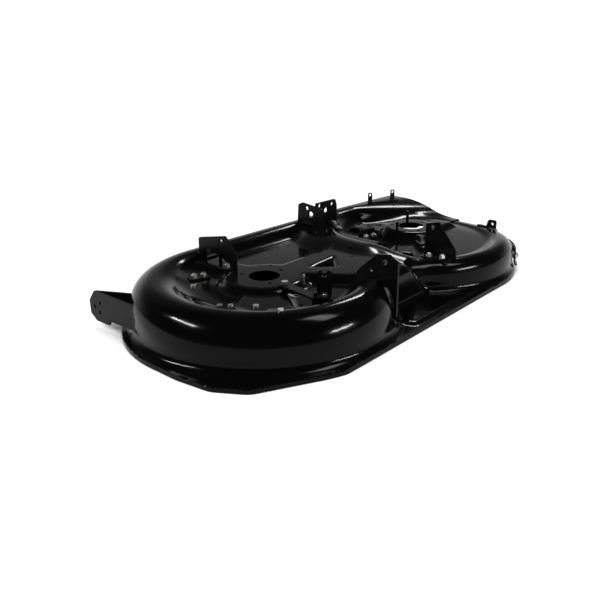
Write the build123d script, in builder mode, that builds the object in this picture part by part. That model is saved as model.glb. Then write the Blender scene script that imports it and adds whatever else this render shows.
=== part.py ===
from build123d import *
from math import asin, atan2, cos, degrees, radians, sin, tan
import os

os.makedirs("parts", exist_ok=True)

# Driving dimensions in millimetres.
# Plan places are measured from the left spindle, +X along the deck, +Y to the front, heights from the rim.
SHEET = 2.5
PLATE = 5.0
STRAP = 3.0
SPINDLE_PITCH = 534.0
SPINDLE_SETBACK = 20.0

# Ring tunnels that carry the cut grass round the blades.
CREST_Z = 113.0
CREST_R = 235.0
CREST_FLAT = 6.0
FLOOR_R = 178.0
FLOOR_Z = 87.0
LEFT_WALL_R = 283.0
RIGHT_WALL_R = 268.0
FOOT_R = 20.0

# Rim flange with its turned-down lip.
FLANGE_Z = 10.0
LEFT_RIM_R = 306.0
NEAR_RIM_Y = 294.0
RIM_CHAMFER_X = 95.0
RIM_CHAMFER_Y = 190.0
RIM_CORNER_R = 45.0
RIGHT_RIM_R = 274.0

# Discharge end: the front tunnel flares and the roof slopes down to the cut end.
DISCHARGE_X = 775.0
FLARE_START = 560.0
FLARE_FLOOR_R = -25.0
FLARE_CREST_R = 195.0
FLARE_CREST_Z = 109.0
ROOF_X = 655.0
ROOF_ANGLE = 9.0
ROOF_EDGE_R = 34.0

# Raised stars round the spindles, the bridge between the lobes and the panel on the rear shelf.
STAR_Z = 103.0
STAR_DRAFT = 35.0
LEFT_HUB_R = 88.0
LEFT_ARMS = ((90.0, 190.0), (198.0, 168.0))
RIGHT_HUB_R = 68.0
RIGHT_ARMS = ((100.0, 165.0), (205.0, 190.0), (0.0, 165.0))
ARM_WIDTH = 56.0
NOTCH_Y = 200.0
NOTCH_SHOULDER = 22.0
NOTCH_START = 120.0
NOTCH_END = 366.0
PANEL_RISE = 5.0
PANEL_EDGE = 18.0
PAD_Z = 97.0
PAD_R = 206.0
PAD_START = 228.0
PAD_END = 256.0

# Spindle seats.
SPINDLE_HOLE_R = 33.5
SPINDLE_BOLT_PCD = 99.0
SPINDLE_BOLT_R = 4.5
SPINDLE_BOLT_ANGLE = -2.0
SPINDLE_BOLTS = 3

# Small holes in the raised fields, as x, y and radius, and the square hole in the pad.
SMALL_HOLES = ((50.0, 62.0, 4.0), (58.0, 38.0, 4.0), (22.0, 118.0, 4.5), (225.0, -62.0, 4.5), (262.0, -30.0, 4.5),
               (-106.0, -163.0, 4.0), (-66.0, -184.0, 4.0), (560.0, 36.0, 4.0))
LATCH_HOLE = 11.0
LATCH_HOLE_XY = (-86.0, -174.0)

# Brackets: plates stand upright on the sheet, their feet follow its surface.
FOOT = 4.0
PLATE_CORNER = 6.0
PIN_HOLE_R = 5.5
LINK_HOLE_R = 8.0
SMALL_HOLE_R = 4.0
ARCH_X = 0.0
REAR_LEFT_X = 107.0
REAR_RIGHT_X = 405.0
LINK_X = 355.0
LINK_Y = 160.0
KEEPER_XY = (16.0, -153.0)
KEEPER_TURN = -50.0
KEEPER_WIDTH = 30.0
KEEPER_TOP = 145.0
KEEPER_NOTCH = 10.0
LATCH_PIVOT = (-18.0, -76.0)
LATCH_TIP = (-32.0, -170.0)
LATCH_WIDTH = 22.0
LATCH_POST_R = 7.0
LUG_XY = (691.0, 180.0)
LUG_TURN = -20.0
LUG_STRAP = 96.0
LUG_STRAP_WIDTH = 24.0
LUG_SPACING = 80.0
LUG_TOP = 139.0
LUG_WIDTH = 14.0
HINGE_X = 744.0
HINGE_Y = -132.0
GAUGE_X = -250.0
GAUGE_Z = 79.0
GAUGE_TIP_Y = 282.0
BRACE_XY = (-229.0, 220.5)
BRACE_TURN = -62.5
BRACE_LENGTH = 100.0
RIGHT_GAUGE_ANGLES = (-66.0, -44.0)
RIGHT_GAUGE_X = 694.0
FLOOR_PLATE_XY = (-72.0, 130.0)
FLOOR_PLATE_TURN = -23.0
FLOOR_ANGLE_XY = (455.0, 58.0)
FLOOR_ANGLE_TURN = -17.0
FLOOR_ANGLE_LENGTH = 56.0
FLOOR_ANGLE_WIDTH = 25.0
FLOOR_ANGLE_RISE = 20.0

# Fasteners.
BOLT_R = 4.0
BOLT_GAP = 0.3
BOLT_END = 2.5
NUT_R = 7.5
NUT_HEIGHT = 6.0
HEAD_R = 9.0
HEAD_HEIGHT = 3.0
SCREW_R = 6.0
SCREW_HEIGHT = 3.5
SCREW_SHANK_R = 3.0
SCREW_LENGTH = 9.0
POST_R = 4.0
POST_HEIGHT = 24.0
POSTS = ((577.0, 19.5), (468.0, -21.0), (-9.0, 127.0))

# The origin lies at the middle of the deck's plan, on the rim plane.
LEFT_X = -(DISCHARGE_X - LEFT_RIM_R) / 2
LEFT_Y = -(LEFT_RIM_R - NEAR_RIM_Y) / 2
TILT = -atan2(SPINDLE_SETBACK, SPINDLE_PITCH)
LEFT_RING_END = 360 - degrees(asin(NOTCH_Y / LEFT_WALL_R))
REACH = 2 * DISCHARGE_X

deck = Plane(origin=(LEFT_X, LEFT_Y, 0))
left = Vector(LEFT_X, LEFT_Y, 0)
right = Vector(LEFT_X + SPINDLE_PITCH, LEFT_Y - SPINDLE_SETBACK, 0)
RIGHT_XY = (SPINDLE_PITCH, -SPINDLE_SETBACK)
along = Vector(cos(TILT), sin(TILT), 0)
forward = Vector(-sin(TILT), cos(TILT), 0)
tunnel_plane = Plane(origin=left, x_dir=forward, z_dir=along)


def radial_plane(centre, angle):
    """Upright plane through a spindle, its x running outwards at the angle."""
    out = Vector(cos(radians(angle)), sin(radians(angle)), 0)
    return Plane(origin=centre, x_dir=out, z_dir=out.cross(Vector(0, 0, 1)))


def wall_line(inset, crest_r, top_z, wall_r):
    """Outer side of a section: shoulder, wall and foot fillet down to the flange."""
    shoulder = wall_r - crest_r
    CenterArc((crest_r, top_z - shoulder), shoulder - inset, 90, -90)
    Line((wall_r - inset, top_z - shoulder), (wall_r - inset, FLANGE_Z + FOOT_R))
    CenterArc((wall_r + FOOT_R, FLANGE_Z + FOOT_R), FOOT_R + inset, 180, 90)
    Line((wall_r + FOOT_R, FLANGE_Z - inset), (wall_r + FOOT_R, -SHEET))


def ring_section(plane, inset, wall_r, floor_r=FLOOR_R, floor_z=FLOOR_Z,
                 crest_in=CREST_R - CREST_FLAT, crest_z=CREST_Z):
    """Section of a ring tunnel with an S-curve from the floor to the crest."""
    start = floor_r - SHEET
    turn = 2 * atan2(crest_z - floor_z, crest_in - floor_r)
    bend = (crest_in - floor_r) / 2 / sin(turn)
    with BuildSketch(plane) as section:
        with BuildLine():
            Line((start, -SHEET), (start, floor_z - inset))
            Line((start, floor_z - inset), (floor_r, floor_z - inset))
            CenterArc((floor_r, floor_z + bend), bend + inset, 270, degrees(turn))
            CenterArc((crest_in, crest_z - bend), bend - inset, 90 + degrees(turn), -degrees(turn))
            Line((crest_in, crest_z - inset), (CREST_R, crest_z - inset))
            wall_line(inset, CREST_R, crest_z, wall_r)
            Line((wall_r + FOOT_R, -SHEET), (start, -SHEET))
        make_face()
    return section.sketch


def nose_section(plane, inset):
    """Half section of the round nose where the left ring's crest runs out on the floor."""
    run = CREST_R - CREST_FLAT - FLOOR_R
    turn = 2 * atan2(CREST_Z - FLOOR_Z, run)
    bend = run / 2 / sin(turn)
    base = FLOOR_Z - 2 * SHEET
    with BuildSketch(plane) as section:
        with BuildLine():
            Line((0, base), (0, CREST_Z - inset))
            CenterArc((0, CREST_Z - bend), bend - inset, 90, -degrees(turn))
            CenterArc((run, FLOOR_Z + bend), bend + inset, 270 - degrees(turn), degrees(turn))
            Line((run, FLOOR_Z - inset), (run, base))
            Line((run, base), (0, base))
        make_face()
    return section.sketch


def notch_section(plane, inset):
    """Section of the straight wall between the two lobes."""
    start = NOTCH_Y - 2 * NOTCH_SHOULDER
    with BuildSketch(plane) as section:
        with BuildLine():
            Line((start, -SHEET), (start, STAR_Z - inset))
            Line((start, STAR_Z - inset), (NOTCH_Y - NOTCH_SHOULDER, STAR_Z - inset))
            wall_line(inset, NOTCH_Y - NOTCH_SHOULDER, STAR_Z, NOTCH_Y)
            Line((NOTCH_Y + FOOT_R, -SHEET), (start, -SHEET))
        make_face()
    return section.sketch


def discharge_roof(inset):
    """Space under the sloping roof of the discharge end, rounded over at the lobe's wall."""
    slope = Plane(origin=(LEFT_X + ROOF_X, right.Y, FLOOR_Z)).rotated((0, ROOF_ANGLE, 0)).offset(-inset)
    base = Plane(origin=right - Vector(0, 0, SHEET))
    with BuildPart() as roof:
        with BuildSketch(base):
            Circle(RIGHT_WALL_R - inset)
        extrude(amount=REACH)
        split(bisect_by=slope, keep=Keep.BOTTOM)
        fillet(roof.faces().sort_by(Axis.Z)[-1].edges(), ROOF_EDGE_R - inset)
        with BuildSketch(base):
            Circle(RIGHT_WALL_R + FOOT_R)
        extrude(amount=FLANGE_Z + FOOT_R)
    return roof.part


def right_lobe(inset):
    """Right lobe: a full ring whose top is cut down by the sloping discharge roof."""
    with BuildPart() as lobe:
        revolve(ring_section(radial_plane(right, 0), inset, RIGHT_WALL_R), axis=Axis(right, (0, 0, 1)))
        with BuildSketch(Plane(origin=right - Vector(0, 0, SHEET))):
            Circle(FLOOR_R)
        extrude(amount=FLOOR_Z + SHEET - inset)
        add(discharge_roof(inset), mode=Mode.INTERSECT)
    return lobe.part


def left_lobe(inset):
    """Left lobe: a part ring from the front tunnel round to the notch, where its crest ends in a round nose."""
    start = 90 + degrees(TILT)
    nose_at = left + Vector(CREST_R - CREST_FLAT, 0, 0).rotate(Axis.Z, LEFT_RING_END)
    with BuildPart() as lobe:
        revolve(ring_section(radial_plane(left, start), inset, LEFT_WALL_R), axis=Axis(left, (0, 0, 1)),
                revolution_arc=LEFT_RING_END - start)
        revolve(nose_section(radial_plane(nose_at, 0), inset), axis=Axis(nose_at, (0, 0, 1)))
        with BuildSketch(Plane(origin=left - Vector(0, 0, SHEET))):
            Circle(FLOOR_R)
        extrude(amount=FLOOR_Z + SHEET - inset)
    return lobe.part


def front_tunnel(inset):
    """Straight front tunnel that flares towards the discharge end."""
    roof_drop = (DISCHARGE_X - ROOF_X) * tan(radians(ROOF_ANGLE))
    start = tunnel_plane.offset(FLARE_START)
    end = tunnel_plane.offset(DISCHARGE_X + 2 * PLATE)
    with BuildPart() as tunnel:
        extrude(ring_section(tunnel_plane, inset, LEFT_WALL_R), amount=FLARE_START)
        loft([ring_section(start, inset, LEFT_WALL_R),
              ring_section(end, inset, LEFT_WALL_R, FLARE_FLOOR_R, FLOOR_Z - roof_drop,
                           FLARE_CREST_R, FLARE_CREST_Z)], ruled=True)
    return tunnel.part


def rim_outline(inset):
    """Plan of the rim: round at the left front, a chamfered rear corner, straight rear and front sides."""
    with BuildSketch(deck.offset(-SHEET)) as outline:
        Circle(LEFT_RIM_R - inset)
        with Locations(RIGHT_XY):
            Circle(RIGHT_RIM_R - inset)
        with BuildLine():
            FilletPolyline((-LEFT_RIM_R + inset, 0), (-LEFT_RIM_R + inset, -RIM_CHAMFER_Y + inset / 2),
                           (-RIM_CHAMFER_X + inset / 2, -NEAR_RIM_Y + inset), (SPINDLE_PITCH, -NEAR_RIM_Y + inset),
                           radius=RIM_CORNER_R)
            Polyline((SPINDLE_PITCH, -NEAR_RIM_Y + inset), (SPINDLE_PITCH, 0), (-LEFT_RIM_R + inset, 0))
        make_face()
        with Locations(Location((0, 0), degrees(TILT))):
            Rectangle(DISCHARGE_X + 2 * PLATE, LEFT_RIM_R - inset, align=(Align.MIN, Align.MIN))
        with Locations((0, inset - NEAR_RIM_Y)):
            Rectangle(2 * REACH, REACH, align=(Align.CENTER, Align.MIN), mode=Mode.INTERSECT)
    return outline.sketch


def star_outline(centre, hub_r, arms):
    """Plan of a raised star: a round hub with straight arms."""
    with BuildSketch(Plane.XY) as star:
        with Locations(centre):
            Circle(hub_r)
        for angle, length in arms:
            with Locations(Location(centre, angle)):
                Rectangle(length, ARM_WIDTH, align=(Align.MIN, Align.CENTER))
    return star.sketch


def bridge_outline():
    """Plan of the raised field that joins the left hub to the right lobe and the notch wall."""
    with BuildSketch(Plane.XY) as bridge:
        with BuildLine():
            Polyline((0, 26), (300, 26), (318, -90), (NOTCH_END, -NOTCH_Y + NOTCH_SHOULDER),
                     (170, -NOTCH_Y + NOTCH_SHOULDER), (112, -132), (64, -60), (0, -26), close=True)
        make_face()
        with BuildLine():
            Polyline((110, -38), (196, -30), (150, -78), close=True)
        make_face(mode=Mode.SUBTRACT)
    return bridge.sketch


def raised(outline, top_z, base_z, inset):
    """Raised field with drafted sides over a plan outline."""
    edge = inset * (1 - sin(radians(STAR_DRAFT))) / cos(radians(STAR_DRAFT))
    with BuildPart() as field:
        with BuildSketch(deck.offset(top_z - inset)):
            add(outline)
            if edge:
                offset(amount=-edge, kind=Kind.INTERSECTION, mode=Mode.REPLACE)
        extrude(amount=base_z - top_z - SHEET, taper=-STAR_DRAFT)
    return field.part


def panel_outline():
    """Plan of the raised three-cornered panel on the rear shelf between the lobes."""
    rear = PANEL_EDGE - NEAR_RIM_Y
    with BuildSketch(Plane.XY) as panel:
        with BuildLine():
            FilletPolyline((228, -NOTCH_Y), (158, rear + PANEL_EDGE), (168, rear), (430, rear), (350, -NOTCH_Y),
                           radius=PLATE, close=True)
        make_face()
    return panel.sketch


def pad_outline():
    """Plan of the flat pad pressed in the left ring's inner slope."""
    with BuildSketch(Plane.XY) as pad:
        with BuildLine():
            rim = CenterArc((0, 0), PAD_R, PAD_START, PAD_END - PAD_START)
            inner_arc = CenterArc((0, 0), FLOOR_R, PAD_START, PAD_END - PAD_START)
            Line(rim @ 0, inner_arc @ 0)
            Line(rim @ 1, inner_arc @ 1)
        make_face()
    return pad.sketch


def deck_form(inset):
    """Everything under the pressed sheet, its surface set in by the given depth."""
    notch_plane = Plane(origin=left + Vector(NOTCH_END, 0, 0), x_dir=(0, -1, 0), z_dir=(-1, 0, 0))
    with BuildPart() as form:
        add(left_lobe(inset))
        add(right_lobe(inset))
        add(front_tunnel(inset))
        with BuildSketch(deck.offset(-SHEET)):
            Polygon((0, 0), (0, -NOTCH_Y + NOTCH_SHOULDER), RIGHT_XY, align=None)
            Polygon((0, -NOTCH_Y + NOTCH_SHOULDER), (NOTCH_END, -NOTCH_Y + NOTCH_SHOULDER), RIGHT_XY, align=None)
            with Locations(Location((0, 0), degrees(TILT))):
                Rectangle(SPINDLE_PITCH, FLOOR_R, align=(Align.MIN, Align.MIN))
        extrude(amount=FLOOR_Z + SHEET - inset)
        extrude(notch_section(notch_plane, inset), amount=NOTCH_END - NOTCH_START)
        extrude(rim_outline(inset), amount=FLANGE_Z + SHEET - inset)
        add(raised(star_outline((0, 0), LEFT_HUB_R, LEFT_ARMS), STAR_Z, FLOOR_Z, inset))
        add(raised(star_outline(RIGHT_XY, RIGHT_HUB_R, RIGHT_ARMS), STAR_Z, FLOOR_Z, inset))
        add(raised(bridge_outline(), STAR_Z, FLOOR_Z, inset))
        add(raised(pad_outline(), PAD_Z, FLOOR_Z, inset))
        add(raised(panel_outline(), FLANGE_Z + PANEL_RISE, FLANGE_Z, inset))
        extrude(rim_outline(inset), amount=REACH, mode=Mode.INTERSECT)
    return form.part


def flat_seat(x, y, z):
    """Level plane on a flat field of the sheet."""
    return Plane(origin=left + Vector(x, y, z))


def ring_seat(centre, x, y):
    """Plane on a ring tunnel's inner slope or crest over a plan place, its z along the surface's normal."""
    place = left + Vector(x, y, 0) - centre
    out = place.normalized()
    crest_in = CREST_R - CREST_FLAT
    turn = 2 * atan2(CREST_Z - FLOOR_Z, crest_in - FLOOR_R)
    bend = (crest_in - FLOOR_R) / 2 / sin(turn)
    if place.length > crest_in:
        lean = 0
        height = CREST_Z
    elif place.length > (FLOOR_R + crest_in) / 2:
        lean = asin((crest_in - place.length) / bend)
        height = CREST_Z - bend * (1 - cos(lean))
    else:
        lean = asin((place.length - FLOOR_R) / bend)
        height = FLOOR_Z + bend * (1 - cos(lean))
    normal = Vector(0, 0, cos(lean)) - out * sin(lean)
    return Plane(origin=left + Vector(x, y, height), x_dir=out.cross(Vector(0, 0, 1)), z_dir=normal)


def wall_seat(angle, z):
    """Plane on the right lobe's wall, its z pointing outwards."""
    out = Vector(cos(radians(angle)), sin(radians(angle)), 0)
    return Plane(origin=right + out * RIGHT_WALL_R + Vector(0, 0, z), x_dir=(0, 0, 1), z_dir=out)


def rods(seats, radius, below, above):
    """Round rods through the seats, from below them to above them."""
    with BuildPart() as rod:
        for seat in seats:
            with BuildSketch(seat.offset(-below)):
                Circle(radius)
        extrude(amount=below + above)
    return rod.part


# Seats of the bolts that hold the brackets and of the screws in the floor.
front_left_seats = [flat_seat(-18, 98, STAR_Z)]
rear_left_seats = [ring_seat(left, 127, -197)]
rear_right_seats = [ring_seat(right, 382, -172), ring_seat(right, 386, -204)]
link_seats = [ring_seat(right, 398, 138), ring_seat(right, 425, 138)]
floor_plate_seats = [flat_seat(-82, 134, FLOOR_Z), flat_seat(-62, 126, FLOOR_Z)]
floor_angle_seats = [flat_seat(442, 58, FLOOR_Z), flat_seat(465, 51, FLOOR_Z)]
gauge_seats = [wall_seat(-61, 36), wall_seat(-49, 36)]
keeper_seats = [flat_seat(9, -160, FLOOR_Z)]
bolt_seats = (front_left_seats + rear_left_seats + rear_right_seats + link_seats + floor_plate_seats
              + floor_angle_seats + gauge_seats + keeper_seats)
pivot_seats = [flat_seat(*LATCH_PIVOT, STAR_Z)]
screw_seats = [flat_seat(-113, 100, FLOOR_Z), flat_seat(-154, -27, STAR_Z), flat_seat(-147, -52, STAR_Z),
               flat_seat(-120, -94, FLOOR_Z), ring_seat(left, -170, -88), ring_seat(left, -139, -178)]


def drill(radius):
    """Upright hole through the sheet at the current places."""
    Cylinder(radius, 2 * CREST_Z, align=(Align.CENTER, Align.CENTER, Align.MIN), mode=Mode.SUBTRACT)


# Pressed shell with its spindle seats and holes.
outer = deck_form(0)
inner = deck_form(SHEET)
with BuildPart() as deck_shell:
    add(outer)
    add(inner, mode=Mode.SUBTRACT)
    split(bisect_by=Plane.YZ.offset(LEFT_X + DISCHARGE_X), keep=Keep.BOTTOM)
    split(bisect_by=Plane.XY, keep=Keep.TOP)
    with Locations(left, right):
        drill(SPINDLE_HOLE_R)
        with PolarLocations(SPINDLE_BOLT_PCD / 2, SPINDLE_BOLTS, SPINDLE_BOLT_ANGLE):
            drill(SPINDLE_BOLT_R)
    for x, y, radius in SMALL_HOLES:
        with Locations(left + Vector(x, y, FLANGE_Z)):
            drill(radius)
    with Locations(left + Vector(*LATCH_HOLE_XY, CREST_Z)):
        Box(LATCH_HOLE, LATCH_HOLE, CREST_Z, mode=Mode.SUBTRACT)
    add(rods(bolt_seats + pivot_seats, BOLT_R + BOLT_GAP, 2 * FOOT, 2 * FOOT), mode=Mode.SUBTRACT)
    add(rods(screw_seats, SCREW_SHANK_R + BOLT_GAP, 2 * FOOT, 2 * FOOT), mode=Mode.SUBTRACT)

deck_shell.part.label = "deck_shell"
export_step(deck_shell.part, "parts/deck_shell.step")

# Surface that the brackets' feet follow, one foot thickness above the sheet.
cover = deck_form(-FOOT)


def fore_aft(x):
    """Upright plane across the deck at x, its own x running to the front."""
    return Plane(origin=left + Vector(x, 0, 0), x_dir=(0, 1, 0), z_dir=(1, 0, 0))


def turned(x, y, turn):
    """Upright plane through a plan place, its own x running at the angle."""
    run = Vector(cos(radians(turn)), sin(radians(turn)), 0)
    return Plane(origin=left + Vector(x, y, 0), x_dir=run, z_dir=run.cross(Vector(0, 0, 1)))


def plate_on(plane, corners, holes, thickness=PLATE, radius=PLATE_CORNER):
    """Upright plate with rounded corners and round holes, cut off at the sheet's surface."""
    with BuildPart() as plate:
        with BuildSketch(plane):
            with BuildLine():
                FilletPolyline(*corners, radius=radius, close=True)
            make_face()
            for x, z, hole_r in holes:
                with Locations((x, z)):
                    Circle(hole_r, mode=Mode.SUBTRACT)
        extrude(amount=thickness / 2, both=True)
        add(outer, mode=Mode.SUBTRACT)
    return plate.part


def foot_on(x, y, length, width, turn=0, base_z=FLOOR_Z / 2):
    """Foot that follows the sheet's surface, with its plan centred at a place."""
    with BuildPart() as foot:
        with BuildSketch(Plane(origin=left + Vector(x, y, base_z))):
            RectangleRounded(length, width, PLATE_CORNER / 2, rotation=turn)
        extrude(amount=REACH)
        add(cover, mode=Mode.INTERSECT)
        add(outer, mode=Mode.SUBTRACT)
    return foot.part


def bolt_holes(seats):
    """Clearance holes of a bracket's bolts."""
    return rods(seats, BOLT_R + BOLT_GAP, 2 * FOOT, 4 * FOOT)


# Front left hanger: an arched plate from the front tunnel to the left hub's front arm.
with BuildPart() as front_left_hanger:
    add(plate_on(fore_aft(ARCH_X), ((208, 90), (206, 151), (118, 169), (86, 138), (84, 90), (112, 90),
                                    (112, 108), (162, 134), (184, 131), (186, 90)), ((130, 154, PIN_HOLE_R),)))
    add(foot_on(ARCH_X + 14, 198, 34, 34))
    add(foot_on(ARCH_X - 14, 98, 34, 28))
    add(bolt_holes(front_left_seats), mode=Mode.SUBTRACT)

front_left_hanger.part.label = "front_left_hanger"
export_step(front_left_hanger.part, "parts/front_left_hanger.step")

# Rear hangers: tall plates that stand across the ring tunnels.
with BuildPart() as rear_left_hanger:
    add(plate_on(fore_aft(REAR_LEFT_X), ((-164, 70), (-167, 124), (-217, 169), (-246, 173), (-268, 160), (-268, 40),
                                         (-240, 40)), ((-237, 156, PIN_HOLE_R), (-202, 132, SMALL_HOLE_R))))
    add(foot_on(REAR_LEFT_X + 16, -205, 36, 62))
    add(bolt_holes(rear_left_seats), mode=Mode.SUBTRACT)

rear_left_hanger.part.label = "rear_left_hanger"
export_step(rear_left_hanger.part, "parts/rear_left_hanger.step")

with BuildPart() as rear_right_hanger:
    add(plate_on(fore_aft(REAR_RIGHT_X), ((-144, 60), (-146, 158), (-178, 166), (-229, 124), (-231, 60)),
                 ((-164, 151, PIN_HOLE_R),)))
    add(foot_on(REAR_RIGHT_X - 16, -188, 36, 70))
    add(bolt_holes(rear_right_seats), mode=Mode.SUBTRACT)

rear_right_hanger.part.label = "rear_right_hanger"
export_step(rear_right_hanger.part, "parts/rear_right_hanger.step")

# Front link bracket: two plates at right angles where the right ring meets the front tunnel.
with BuildPart() as front_link_plate:
    add(plate_on(fore_aft(LINK_X), ((222, 80), (216, 160), (203, 166), (136, 158), (124, 146), (128, 80)),
                 ((187, 153, PIN_HOLE_R), (173, 138, LINK_HOLE_R))))

front_link_plate.part.label = "front_link_plate"
export_step(front_link_plate.part, "parts/front_link_plate.step")

with BuildPart() as front_link_cross_plate:
    add(plate_on(turned(LINK_X + PLATE / 2, LINK_Y, 0), ((0, 70), (0, 169), (79, 167), (85, 150), (85, 70)),
                 ((15, 160, PIN_HOLE_R), (66, 156, PIN_HOLE_R), (40, 143, LINK_HOLE_R))))
    add(foot_on(LINK_X + 57, LINK_Y - 15, 50, 34))
    add(bolt_holes(link_seats), mode=Mode.SUBTRACT)

front_link_cross_plate.part.label = "front_link_cross_plate"
export_step(front_link_cross_plate.part, "parts/front_link_cross_plate.step")

# Belt keeper: an upright with a U-notch and a foot on the left floor.
with BuildPart() as belt_keeper:
    add(plate_on(turned(*KEEPER_XY, KEEPER_TURN), ((-KEEPER_WIDTH / 2, 60), (-KEEPER_WIDTH / 2, KEEPER_TOP),
                                                   (KEEPER_WIDTH / 2, KEEPER_TOP), (KEEPER_WIDTH / 2, 60)), ()))
    with BuildSketch(turned(*KEEPER_XY, KEEPER_TURN)):
        with Locations((0, KEEPER_TOP)):
            SlotOverall(3 * KEEPER_NOTCH, KEEPER_NOTCH, rotation=90)
    extrude(amount=PLATE, both=True, mode=Mode.SUBTRACT)
    add(foot_on(KEEPER_XY[0] - 8, KEEPER_XY[1] - 7, KEEPER_WIDTH, 22, KEEPER_TURN))
    add(bolt_holes(keeper_seats), mode=Mode.SUBTRACT)

belt_keeper.part.label = "belt_keeper"
export_step(belt_keeper.part, "parts/belt_keeper.step")

# Latch arm on the left hub, with a shouldered post under its far end and a pivot bolt.
arm = Vector(*LATCH_TIP) - Vector(*LATCH_PIVOT)
with BuildPart() as latch_arm:
    with BuildSketch(deck.offset(STAR_Z)):
        with Locations((Vector(*LATCH_PIVOT) + Vector(*LATCH_TIP)) / 2):
            SlotCenterToCenter(arm.length, LATCH_WIDTH, rotation=degrees(atan2(arm.Y, arm.X)))
        with Locations(LATCH_PIVOT, LATCH_TIP):
            Circle(BOLT_R + BOLT_GAP, mode=Mode.SUBTRACT)
    extrude(amount=FOOT)

latch_arm.part.label = "latch_arm"
export_step(latch_arm.part, "parts/latch_arm.step")

with BuildPart() as latch_post:
    with Locations(left + Vector(*LATCH_TIP, FLOOR_Z)):
        Cylinder(LATCH_POST_R, STAR_Z - FLOOR_Z, align=(Align.CENTER, Align.CENTER, Align.MIN))
        Cylinder(BOLT_R, STAR_Z - FLOOR_Z + 3 * FOOT, align=(Align.CENTER, Align.CENTER, Align.MIN))
    add(outer, mode=Mode.SUBTRACT)

latch_post.part.label = "latch_post"
export_step(latch_post.part, "parts/latch_post.step")

# Strap with two eye lugs on the front tunnel.
run = Vector(cos(radians(LUG_TURN)), sin(radians(LUG_TURN)), 0)
across = Vector(0, 0, 1).cross(run)
lug_edge = Vector(*LUG_XY) + across * (LUG_STRAP_WIDTH - STRAP) / 2
with BuildPart() as deflector_lug_strap:
    add(foot_on(*LUG_XY, LUG_STRAP, LUG_STRAP_WIDTH, LUG_TURN))
    for side in (-1, 1):
        middle = side * LUG_SPACING / 2
        add(plate_on(turned(lug_edge.X, lug_edge.Y, LUG_TURN),
                     ((middle - LUG_WIDTH / 2, FLOOR_Z), (middle - LUG_WIDTH / 2, LUG_TOP),
                      (middle + LUG_WIDTH / 2, LUG_TOP), (middle + LUG_WIDTH / 2, FLOOR_Z)),
                     ((middle, LUG_TOP - LUG_WIDTH / 2, SMALL_HOLE_R),), STRAP, LUG_WIDTH / 2 - STRAP / 4))

deflector_lug_strap.part.label = "deflector_lug_strap"
export_step(deflector_lug_strap.part, "parts/deflector_lug_strap.step")

# Hinge bracket with an ear at the rear of the discharge roof.
with BuildPart() as deflector_hinge_bracket:
    add(foot_on(HINGE_X + 6, HINGE_Y, 24, 56))
    add(plate_on(fore_aft(HINGE_X), ((HINGE_Y - 28, 50), (HINGE_Y - 28, 96), (HINGE_Y - 4, 96), (HINGE_Y + 6, 50)),
                 ((HINGE_Y - 17, 85, SMALL_HOLE_R),)))

deflector_hinge_bracket.part.label = "deflector_hinge_bracket"
export_step(deflector_hinge_bracket.part, "parts/deflector_hinge_bracket.step")

# Left gauge-wheel bracket: a plate that stands off the left lobe's front, with a slanting brace.
with BuildPart() as left_gauge_bracket:
    add(plate_on(fore_aft(GAUGE_X), ((120, 24), (120, GAUGE_Z), (261, GAUGE_Z), (GAUGE_TIP_Y, 54), (GAUGE_TIP_Y, 24),
                                     (262, 10), (216, 11), (213, 21)),
                 ((243, 55, SMALL_HOLE_R), (246, 33, SMALL_HOLE_R), (262, 43, SMALL_HOLE_R)), radius=STRAP))

left_gauge_bracket.part.label = "left_gauge_bracket"
export_step(left_gauge_bracket.part, "parts/left_gauge_bracket.step")

with BuildPart() as left_gauge_brace:
    with BuildSketch(deck.offset(FLANGE_Z + FOOT_R)):
        with Locations(Location(BRACE_XY, BRACE_TURN)):
            Rectangle(BRACE_LENGTH, PLATE)
    extrude(amount=GAUGE_Z - FLANGE_Z - FOOT_R)
    split(bisect_by=Plane.YZ.offset(LEFT_X + GAUGE_X + PLATE / 2), keep=Keep.TOP)
    add(outer, mode=Mode.SUBTRACT)

left_gauge_brace.part.label = "left_gauge_brace"
export_step(left_gauge_brace.part, "parts/left_gauge_brace.step")

# Right gauge-wheel bracket: a plate bent round the right lobe's wall.
with BuildPart() as right_gauge_bracket:
    with BuildSketch(Plane(origin=right + Vector(0, 0, 16))):
        with BuildLine():
            first = Vector(REACH, 0, 0).rotate(Axis.Z, RIGHT_GAUGE_ANGLES[0])
            last = Vector(REACH, 0, 0).rotate(Axis.Z, RIGHT_GAUGE_ANGLES[1])
            Polyline((0, 0), first, last, close=True)
        make_face()
        Circle(RIGHT_WALL_R - PLATE, mode=Mode.SUBTRACT)
    extrude(amount=42)
    add(cover, mode=Mode.INTERSECT)
    add(outer, mode=Mode.SUBTRACT)
    add(plate_on(fore_aft(RIGHT_GAUGE_X), ((-210, 18), (-210, 44), (-228, 44), (-247, 22), (-247, 16)), (),
                 radius=STRAP / 2))
    add(bolt_holes(gauge_seats), mode=Mode.SUBTRACT)

right_gauge_bracket.part.label = "right_gauge_bracket"
export_step(right_gauge_bracket.part, "parts/right_gauge_bracket.step")

# Small plate and angle on the floors.
with BuildPart() as left_floor_plate:
    add(foot_on(*FLOOR_PLATE_XY, 46, 26, FLOOR_PLATE_TURN))
    add(bolt_holes(floor_plate_seats), mode=Mode.SUBTRACT)

left_floor_plate.part.label = "left_floor_plate"
export_step(left_floor_plate.part, "parts/left_floor_plate.step")

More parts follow.
